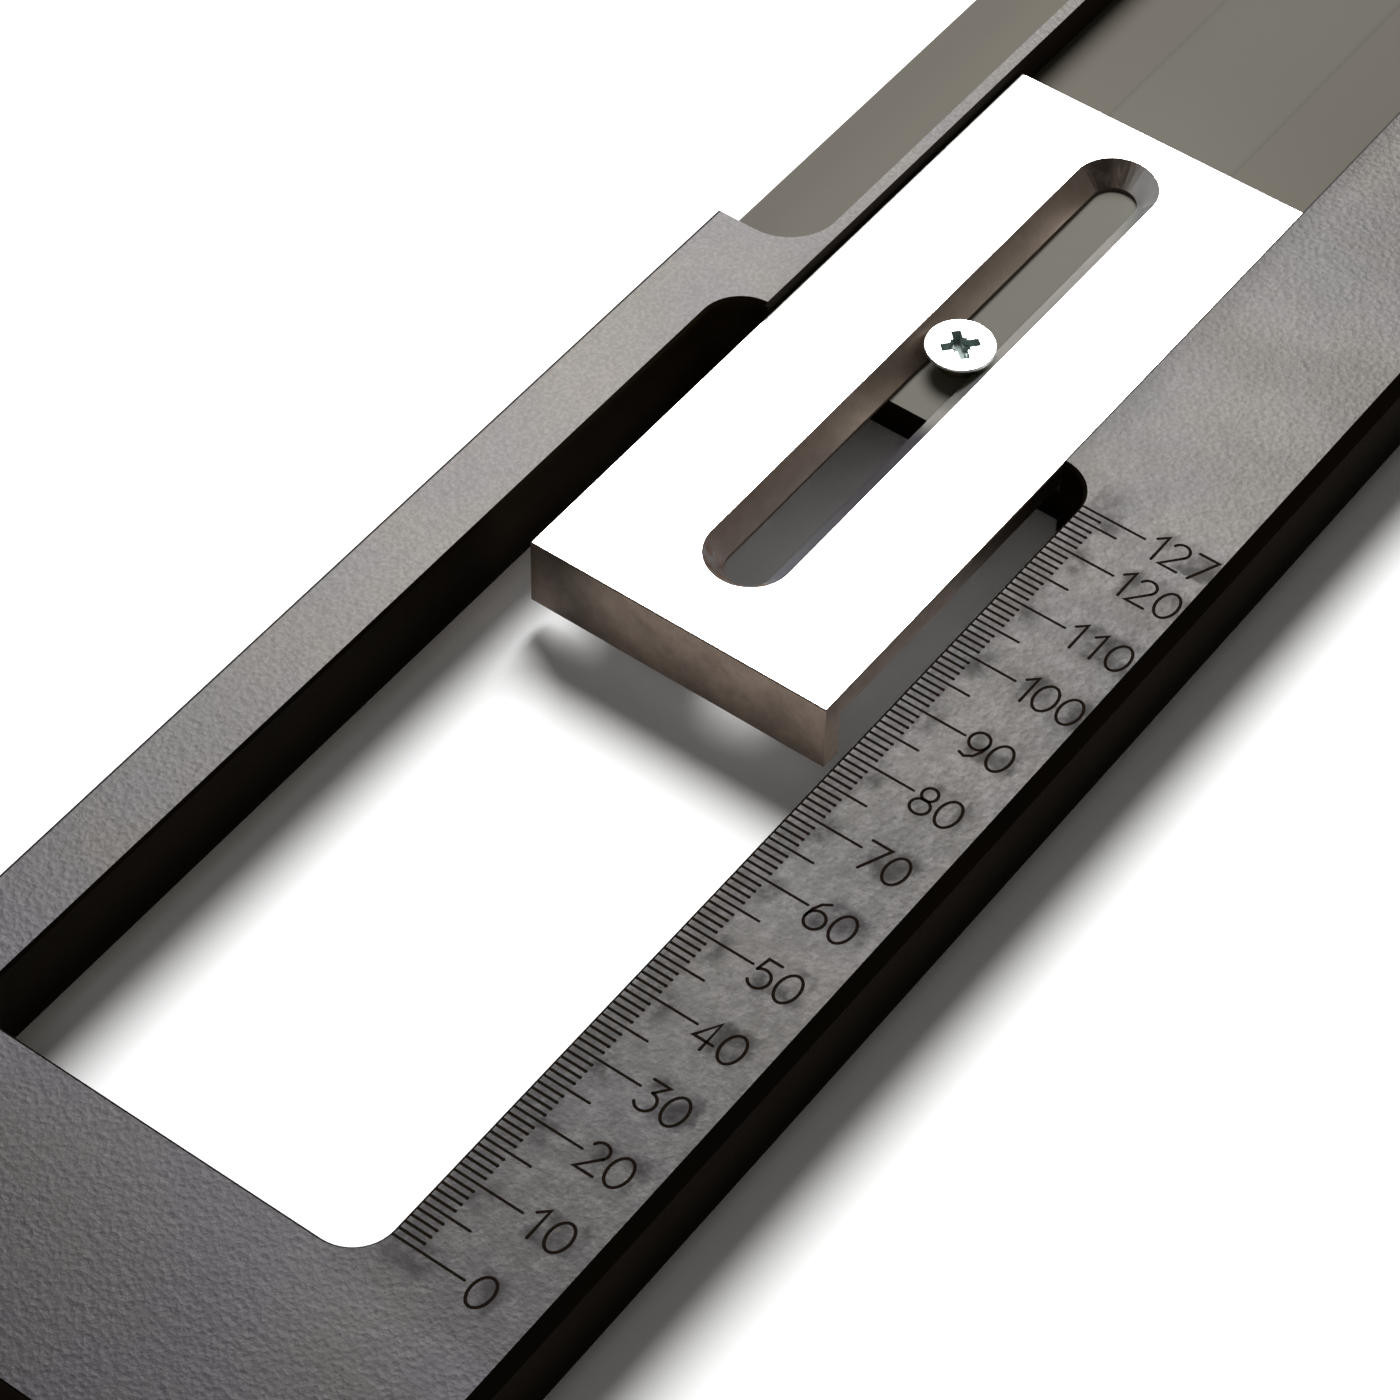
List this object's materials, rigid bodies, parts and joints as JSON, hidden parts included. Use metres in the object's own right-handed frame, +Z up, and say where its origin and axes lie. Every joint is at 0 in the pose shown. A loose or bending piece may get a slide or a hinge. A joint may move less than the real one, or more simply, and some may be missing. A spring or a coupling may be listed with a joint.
{
  "type": "adjustable template frame",
  "caption": "Flat steel template frame with a through window, an engraved millimetre scale and a slotted gate that slides in a groove and is locked by a countersunk screw.",
  "frame": {"origin": "centre of the frame's flat underside", "axes": "+X along the scale from 0 towards 127, +Y across from the scale rail to the plain rail, +Z up out of the engraved face"},
  "size_m": [0.28, 0.0826, 0.012],
  "materials": {
    "frame_steel": "bead-blasted top, machined groove and ledge",
    "gate_steel": "ground",
    "zinc_plate": "bright zinc"
  },
  "bodies": {
    "frame_body": {"frame": "frame_steel"},
    "gate_body": {"gate": "gate_steel"},
    "screw_body": {"lock_screw": "zinc_plate"}
  },
  "joints": [
    {"name": "gate_slide", "type": "slide", "parent": "frame_body", "child": "gate_body", "axis": [1, 0, 0], "range_m": [-0.0341, 0.0421]},
    {"name": "lock_screw_turn", "type": "hinge", "parent": "frame_body", "child": "screw_body", "pos_m": [0.0387, 0.00555, 0.006], "axis": [0, 0, 1], "continuous": true}
  ]
}
